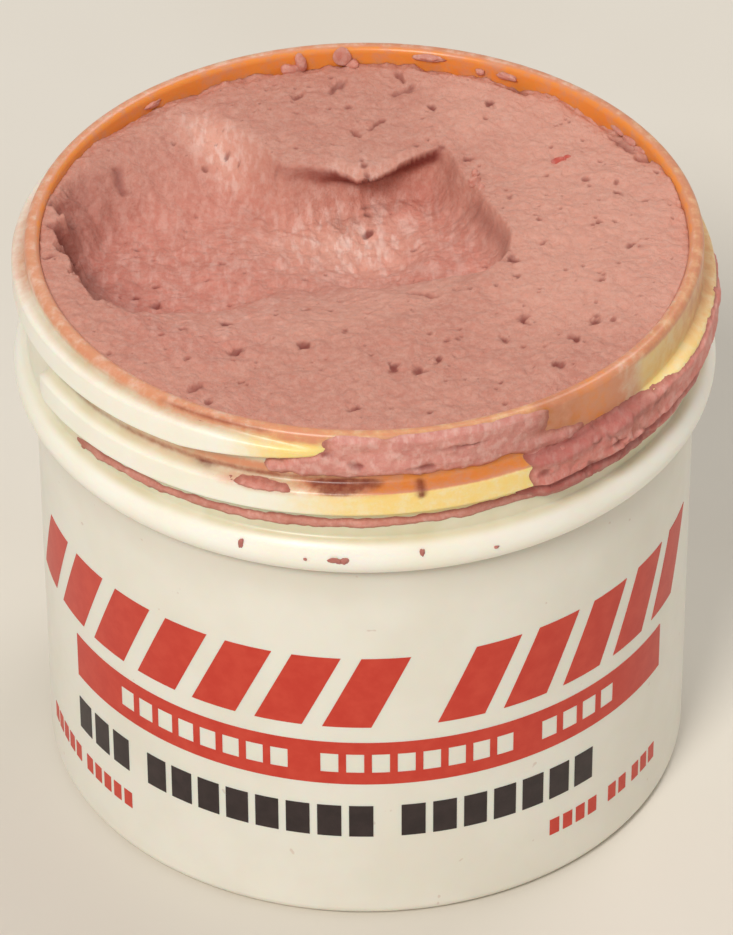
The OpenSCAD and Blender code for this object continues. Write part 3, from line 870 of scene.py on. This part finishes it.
def smear_patch(start, end, low, high, thickness, dark_share, pale_share):
    """A closed skin on the neck. Where thickness is negative it dips under the plastic."""
    cols = max(8, int((end - start) * 3.5))
    rows = max(8, int((high - low) * 9))
    angle, z = np.meshgrid(np.linspace(start, end, cols), np.linspace(low, high, rows))
    under = neck_surface(angle, z)
    over_rim = smoothstep(JAR_H - RIM_ROUND, JAR_H + 0.05, z) * 0.5
    under = under - over_rim
    x, y = under * np.sin(np.radians(angle)), -under * np.cos(np.radians(angle))
    thick = np.clip(thickness(angle, z, x, y), -SMEAR_DIP, None)
    edge = np.ones_like(thick, bool)
    edge[1:-1, 1:-1] = False
    thick = np.where(edge, -SMEAR_DIP, thick)
    front = around(angle, under + thick, z).reshape(-1, 3)
    back = around(angle, under - SMEAR_BACK, z).reshape(-1, 3)
    n = rows * cols
    outer = quads(rows, cols)
    ring = grid_ring(rows, cols)
    walls = np.stack([np.roll(ring, -1), ring, ring + n, np.roll(ring, -1) + n], -1)
    faces = np.vstack([outer, outer[:, ::-1] + n, walls])
    fresh = smoothstep(0.0, 0.26, thick)
    # Painted shade in the grooves under the thread ridges, and darker packed paste high on the thread smear,
    # both scaled by dark_share.
    groove = smoothstep(0.75, 0.2, (under - NECK_R) / THREAD_DEPTH)
    upper = 0.8 * smoothstep(43.7, 44.8, z) * smoothstep(62, 50, angle)
    thin_edge = 0.34 * smoothstep(0.13, 0.02, thick) * smoothstep(-0.1, -0.02, thick)
    packed_and_groove_shade = dark_share * np.maximum(groove, upper) * mix(1, 0.4, smoothstep(48, 58, angle))
    middle = 0.12 * smoothstep(12, 24, angle) * smoothstep(64, 52, angle)
    # shade: painted shade in the grooves, the hollows painted darker, the darker stained colour at thin
    # edges, and a faint tint between about 12 and 64 degrees.
    shade = np.maximum.reduce([packed_and_groove_shade, middle, thin_edge, 0.7 * smear_hollows(angle, z, x, y)])
    marks_out = np.stack([fresh, shade, 0.35 * fresh, pale_share * fresh], -1).reshape(-1, 4)
    return np.vstack([front, back]), faces, np.vstack([marks_out, marks_out])


def lumps_at(x, y, z, seed):
    return 0.5 + 0.5 * fractal(0.6 * x, 0.6 * y, 1.15 * z, 1.9, 5, seed)


def neck_smear(angle, z, x, y):
    ragged = fractal(x, y, z, 1.6, 4, 71)
    edge = np.interp(z, (45.4, 46.1, 46.8, 47.3, 47.8, 49.1), (-16, -14.5, -12.5, -9, -6.5, -5.5))
    left = smoothstep(edge - 2.5, edge + 2.5, angle + 2.2 * ragged)
    right_edge = mix(40, 33, smoothstep(45.6, 47.0, z))
    wander = 2.5 * ragged + 3 * fractal(x, y, z, 3.4, 2, 77)
    right = smoothstep(right_edge + 5, right_edge - 8, angle + wander)
    bottom = mix(45.3, 44.4, smoothstep(24, 30, angle))
    floor = smoothstep(bottom - 0.1, bottom + 0.7, z + 0.3 * ragged)
    thin = mix(1, 0.5, smoothstep(22, 34, angle) * smoothstep(46.0, 47.0, z))
    body = 0.2 + 0.46 * lumps_at(x, y, z, 73) + 0.14 * bump(z, 46.4, 0.6)
    body = body - 0.2 * smear_hollows(angle, z, x, y)
    return left * right * floor * body * thin - 0.12


def thread_smear(angle, z, x, y):
    ragged = fractal(x, y, z, 1.4, 4, 81)
    start = smoothstep(25.8, 29.8, angle + 1.6 * fractal(x, y, z, 2.2, 2, 82))
    stop = smoothstep(108, 88, angle + 3 * ragged)
    taper = 1.5 * smoothstep(82, 108, angle)
    top = thread_z(angle) + mix(1.85, 0.95, smoothstep(48, 62, angle)) - taper
    bottom = thread_z(angle) - 3.15 - 0.2 * smoothstep(36, 58, angle) + taper
    band = smoothstep(top + 0.2, top - 0.35, z + 0.25 * ragged)
    band = band * smoothstep(bottom - 0.2, bottom + 0.35, z + 0.2 * ragged)
    clefts = bump(fractal(x * 1.2, y, z * 0.8, 2.0, 3, 87), 0, 0.14) * bump(angle, 46, 12)
    body = 0.22 + 0.36 * lumps_at(x, y, z, 83) - 0.25 * clefts - 0.2 * smear_hollows(angle, z, x, y)
    corner = 0.85 * bump(z, thread_z(angle) - 2.05, 0.8) * smoothstep(84, 66, angle)
    return start * stop * band * np.maximum(body + corner, 0.22) - 0.12


def root_smear(angle, z, x, y):
    ragged = fractal(x, y, z, 1.1, 3, 91)
    along = smoothstep(-64, -46, angle + ragged) * smoothstep(46, 30, angle)
    half = 0.5 + 0.16 * ragged
    centre = thread_z(angle) - 2.5 - 0.25 * smoothstep(-38, -56, angle)
    line = smoothstep(half + 0.2, half - 0.35, np.abs(z - centre))
    return along * line * (0.15 + 0.16 * lumps_at(x, y, z, 93)) - 0.09


def gap_smear(angle, z, x, y):
    ragged = fractal(x, y, z, 0.9, 3, 95)
    dab = smoothstep(1.25, 0.2, np.abs(angle + 17) / 6.5 + np.abs(z - 44.38) / 0.5 + 0.4 * ragged)
    return dab * (0.14 + 0.14 * lumps_at(x, y, z, 97)) - 0.07


# Piece, node, slot, (first angle, last angle, low, high), thickness, and the shares of dark (painted shade in
# the grooves and dark packed paste) and pale.
SMEARS = (
    ("smear_over_neck", "smear_neck", "paste_dark", (-28, 64, 44.2, JAR_H - 0.02), neck_smear, 0.0, 0.0),
    ("smear_over_thread", "smear_thread", "paste", (22, 110, 40.2, 46.8), thread_smear, 0.55, 0.75),
    ("smear_under_thread", "smear_root", "paste_dark", (-66, 72, 38.9, 42.0), root_smear, 0.0, 0.0),
    ("smear_between_ridges", "smear_gap", "paste_dark", (-26, -8, 43.6, 45.4), gap_smear, 0.0, 0.3))


def build_smears():
    for name, node_name, slot, area, thickness, dark, pale in SMEARS:
        points, faces, colours = smear_patch(*area, thickness, dark, pale)
        stand_in(make_object(name, points, faces, SMEAR, colours), slot, node_name)


build_smears()


# ---------------------------------------------------------------- dabs, crumbs and loose bits
def lump(centre, across, side, out, sizes, seed, rough):
    """A closed rough lump about centre. across, side and out are its axes, sizes its half extents."""
    rings, segments = 14, 22
    tilt = np.linspace(0, math.pi, rings)[1:-1, None]
    turn = (np.arange(segments) * 2 * math.pi / segments)[None, :]
    ball = np.stack(np.broadcast_arrays(np.sin(tilt) * np.cos(turn), np.sin(tilt) * np.sin(turn),
                                        np.cos(tilt)), -1).reshape(-1, 3)
    ball = np.vstack([ball, [[0, 0, 1], [0, 0, -1]]])
    swell = 1 + rough * fractal(ball[:, 0] + seed, ball[:, 1], ball[:, 2], 1.1, 3, seed)
    axes = np.array([across, side, out], float)
    points = np.asarray(centre) + (ball * swell[:, None] * np.asarray(sizes)) @ axes
    rows = rings - 2
    faces = quads(rows, segments, wrap=True)[:, ::-1].tolist()
    first, last = rows * segments, rows * segments + 1
    for j in range(segments):
        k = (j + 1) % segments
        faces += [[first, j, k], [last, (rows - 1) * segments + k, (rows - 1) * segments + j]]
    return points, faces, np.tile([1.0, 0.0, 0.3, 0.2], (len(points), 1))


def wall_lump(angle, radius, z, sizes, seed, rough):
    """A lump on a round wall: half extents round the wall, up it and out from it."""
    a = math.radians(angle)
    side = (math.cos(a), math.sin(a), 0)
    out = (math.sin(a), -math.cos(a), 0)
    centre = (radius * math.sin(a), -radius * math.cos(a), z)
    return lump(centre, side, (0, 0, 1), out, sizes, seed, rough)


def flat_lump(x, y, z, sizes, turn, seed, rough):
    """A lump on the paste: half extents along its direction, across it and up."""
    a = math.radians(turn)
    along, across = (math.cos(a), math.sin(a), 0), (-math.sin(a), math.cos(a), 0)
    return lump((x, y, z), along, across, (0, 0, 1), sizes, seed, rough)


# Lumps on the inside of the rim: angle, height, half extents, seed, roughness.
DABS = ((183.7, 48.45, (0.75, 0.95, 0.42), 3, 0.3), (182.0, 47.9, (0.6, 0.5, 0.6), 4, 0.3),
        (191.6, 48.3, (0.55, 0.85, 0.4), 5, 0.3), (193.6, 47.8, (0.9, 0.5, 0.55), 6, 0.3),
        (168, 48.7, (1.3, 0.3, 0.26), 8, 0.6), (153, 48.5, (0.9, 0.3, 0.24), 9, 0.6),
        (222, 48.4, (1.0, 0.24, 0.14), 10, 0.6), (158, 48.2, (0.45, 0.26, 0.24), 11, 0.6))
# Crumbs on the bead: angle, angle up the bead, half width, half height.
CRUMBS = ((-20, 20, 0.22, 0.5), (-4.6, 8, 0.5, 0.38), (-3.4, 9, 0.36, 0.36), (9, 23, 0.18, 0.42),
          (21, 5, 0.2, 0.14), (-9.5, 6, 0.14, 0.1))
CRUMB_OUT, CRUMB_DARK, CRUMB_SEED = 0.16, 0.4, 20
# Lumps lying on the paste: x, y, depth under BITS_Z, half extents, direction, seed, roughness.
BITS_Z = JAR_H - 1.1
DYE_BITS = ((15.7, 10.9, 0.15, (0.75, 0.5, 0.4), 20, 31, 0.45),
            (16.5, 11.3, 0.1, (0.3, 0.4, 0.35), 60, 32, 0.45))
FLAKES = ((20.6, 15.6, 0.1, (1.0, 0.22, 0.28), -62, 35, 0.3),
          (21.6, 13.9, 0.1, (0.9, 0.25, 0.3), -50, 36, 0.3),
          (22.5, 12.6, 0.15, (0.7, 0.3, 0.35), -30, 37, 0.3),
          (8.9, 8.3, 0.2, (0.5, 0.35, 0.4), 30, 38, 0.5),
          (9.4, 7.4, 0.15, (0.35, 0.3, 0.3), 80, 39, 0.5),
          (9.0, 9.4, 0.1, (0.3, 0.25, 0.3), 0, 40, 0.5))


def build_bits():
    dabs = [wall_lump(angle, BORE_R - 0.1, z, sizes, seed, rough) for angle, z, sizes, seed, rough in DABS]
    add_joined("dabs_in_rim", dabs, PASTE, "paste", "rim_dabs")

    crumbs = []
    for k, (angle, up, wide, tall) in enumerate(CRUMBS):
        u = math.radians(up)
        radius, z = BEAD_MID_R + BEAD_ROUND * math.cos(u), BEAD_Z + BEAD_ROUND * math.sin(u)
        crumbs.append(wall_lump(angle, radius, z, (wide, tall, CRUMB_OUT), CRUMB_SEED + k, 0.5))
    add_joined("crumbs_on_bead", crumbs, SMEAR, "paste_dark", "bead_crumbs", dark=CRUMB_DARK)

    for name, table, material, slot in (("dye_lump", DYE_BITS, BITS, "dye_bits"),
                                        ("paste_flakes", FLAKES, PASTE, "paste")):
        lumps = [flat_lump(x, y, BITS_Z - under, *rest) for x, y, under, *rest in table]
        add_joined(name, lumps, material, slot, "loose_bits")


build_bits()


# ---------------------------------------------------------------- camera, lights, floor
CAMERA_AT = Vector((0, -413.6, 344.8)) * MM
CAMERA_DOWN = 37.67
CAMERA_TURN = 0.014
CAMERA_ROLL = -0.273
LENS_MM, SENSOR_MM = 246.4, 36
FLOOR_SIZE = 6
WORLD_TINT, WORLD_STRENGTH = (1.0, 0.985, 0.96, 1), 0.42
LIGHTS_AIM = (0, 0, 0.03)
# Name, place, diameter, power, colour.
LIGHTS = (("key", (-0.34, -0.82, 0.98), 0.40, 9.8, (1.0, 0.97, 0.93)),
          ("back", (0.42, 0.50, 1.0), 0.5, 3.2, (1.0, 0.98, 0.96)))


def build_camera():
    down, turn, roll = (math.radians(a) for a in (CAMERA_DOWN, CAMERA_TURN, CAMERA_ROLL))
    forward = Vector((math.sin(turn) * math.cos(down), math.cos(turn) * math.cos(down), -math.sin(down)))
    right = forward.cross(Vector((0, 0, 1))).normalized()
    up = right.cross(forward)
    level_right = right * math.cos(roll) + up * math.sin(roll)
    level_up = up * math.cos(roll) - right * math.sin(roll)
    data = bpy.data.cameras.new("camera")
    data.lens = LENS_MM
    data.sensor_width = SENSOR_MM
    data.clip_end = 10
    camera = bpy.data.objects.new("camera", data)
    turned = Matrix((level_right, level_up, -forward)).transposed().to_4x4()
    camera.matrix_world = Matrix.Translation(CAMERA_AT) @ turned
    bpy.context.scene.collection.objects.link(camera)
    bpy.context.scene.camera = camera


def area_light(name, place, size, power, colour):
    data = bpy.data.lights.new(name, "AREA")
    data.shape = "DISK"
    data.size = size
    data.energy = power
    data.color = colour
    lamp = bpy.data.objects.new(name, data)
    lamp.location = place
    lamp.rotation_euler = (Vector(LIGHTS_AIM) - Vector(place)).to_track_quat("-Z", "Y").to_euler()
    bpy.context.scene.collection.objects.link(lamp)


def build_stage():
    bpy.ops.mesh.primitive_grid_add(x_subdivisions=8, y_subdivisions=8, size=FLOOR_SIZE)
    floor = bpy.context.object
    floor.name = "floor"
    floor.data.materials.append(floor_material())
    world = bpy.data.worlds.new("studio")
    world.use_nodes = True
    background = world.node_tree.nodes["Background"]
    background.inputs["Color"].default_value = WORLD_TINT
    background.inputs["Strength"].default_value = WORLD_STRENGTH
    bpy.context.scene.world = world
    for light in LIGHTS:
        area_light(*light)
    bpy.context.scene.view_settings.view_transform = "Standard"


build_camera()
build_stage()
